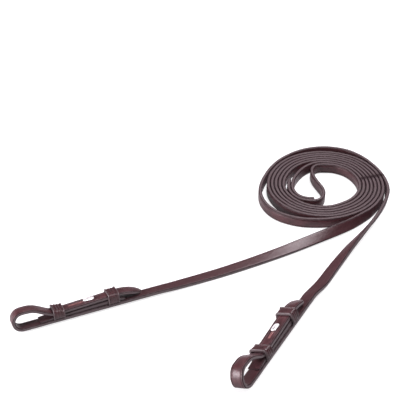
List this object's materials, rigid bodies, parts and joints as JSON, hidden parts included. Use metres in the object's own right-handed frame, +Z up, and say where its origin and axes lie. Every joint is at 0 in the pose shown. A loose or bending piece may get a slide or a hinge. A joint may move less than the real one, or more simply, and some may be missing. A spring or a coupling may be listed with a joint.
{
  "type": "leather reins",
  "caption": "Pair of narrow flat leather reins wound into a ring-shaped coil, the free ends drawn out and finished as hook-stud billets with bit loops and keepers.",
  "frame": {"origin": "centre of the bounding box on the floor plane", "axes": "+Z up; +X and +Y across the floor, with both bit ends pointing towards -X and -Y"},
  "size_m": [0.3938, 0.3922, 0.0266],
  "materials": {
    "rein_leather": "dark red-brown bridle leather, waxed, with a soft mauve sheen",
    "loop_leather": "dark red-brown bridle leather, waxed, bent and slightly creased",
    "billet_leather": "dark red-brown bridle leather, waxed, with creased borders",
    "lining_leather": "plain dark leather with a burnished edge",
    "keeper_leather": "dark leather pressed with ridges, glossy rims",
    "thread": "waxed dark brown thread",
    "stud_steel": "polished stainless steel"
  },
  "bodies": {
    "reins": {"left_rein": "rein_leather", "right_rein": "rein_leather", "lap_stitch_lower": "thread", "lap_stitch_upper": "thread"},
    "left_bit_end": {"left_rein_end": "rein_leather", "left_bit_loop": "loop_leather", "left_lining": "lining_leather", "left_loop_keeper": "keeper_leather", "left_tip_keeper": "keeper_leather", "left_hook_stud": "stud_steel", "left_stitch_inner": "thread", "left_stitch_outer": "thread"},
    "left_billet": {"left_billet": "billet_leather"},
    "left_tip": {"left_billet_tip": "billet_leather"},
    "right_bit_end": {"right_rein_end": "rein_leather", "right_bit_loop": "loop_leather", "right_lining": "lining_leather", "right_loop_keeper": "keeper_leather", "right_tip_keeper": "keeper_leather", "right_hook_stud": "stud_steel", "right_stitch_inner": "thread", "right_stitch_outer": "thread"},
    "right_billet": {"right_billet": "billet_leather"},
    "right_tip": {"right_billet_tip": "billet_leather"}
  },
  "joints": [
    {"name": "left_end_lift", "type": "hinge", "parent": "reins", "child": "left_bit_end", "pos_m": [-0.06211, -0.0574, 0.00487], "axis": [-0.3851, 0.9029, -0.1908], "range_deg": [0, 60]},
    {"name": "left_billet_slide", "type": "slide", "parent": "left_bit_end", "child": "left_billet", "axis": [0.9158, 0.3995, 0.0422], "range_m": [0, 0.008]},
    {"name": "left_tip_lift", "type": "hinge", "parent": "left_billet", "child": "left_tip", "pos_m": [-0.09638, -0.07009, 0.01396], "axis": [0.3851, -0.9029, 0.1908], "range_deg": [0, 35]},
    {"name": "right_end_lift", "type": "hinge", "parent": "reins", "child": "right_bit_end", "pos_m": [0.08967, -0.06799, 0.00646], "axis": [-0.807, 0.4566, -0.3746], "range_deg": [0, 60]},
    {"name": "right_billet_slide", "type": "slide", "parent": "right_bit_end", "child": "right_billet", "axis": [0.4762, 0.8782, 0.0446], "range_m": [0, 0.008]},
    {"name": "right_tip_lift", "type": "hinge", "parent": "right_billet", "child": "right_tip", "pos_m": [0.06831, -0.09785, 0.01608], "axis": [0.807, -0.4566, 0.3746], "range_deg": [0, 35]}
  ]
}
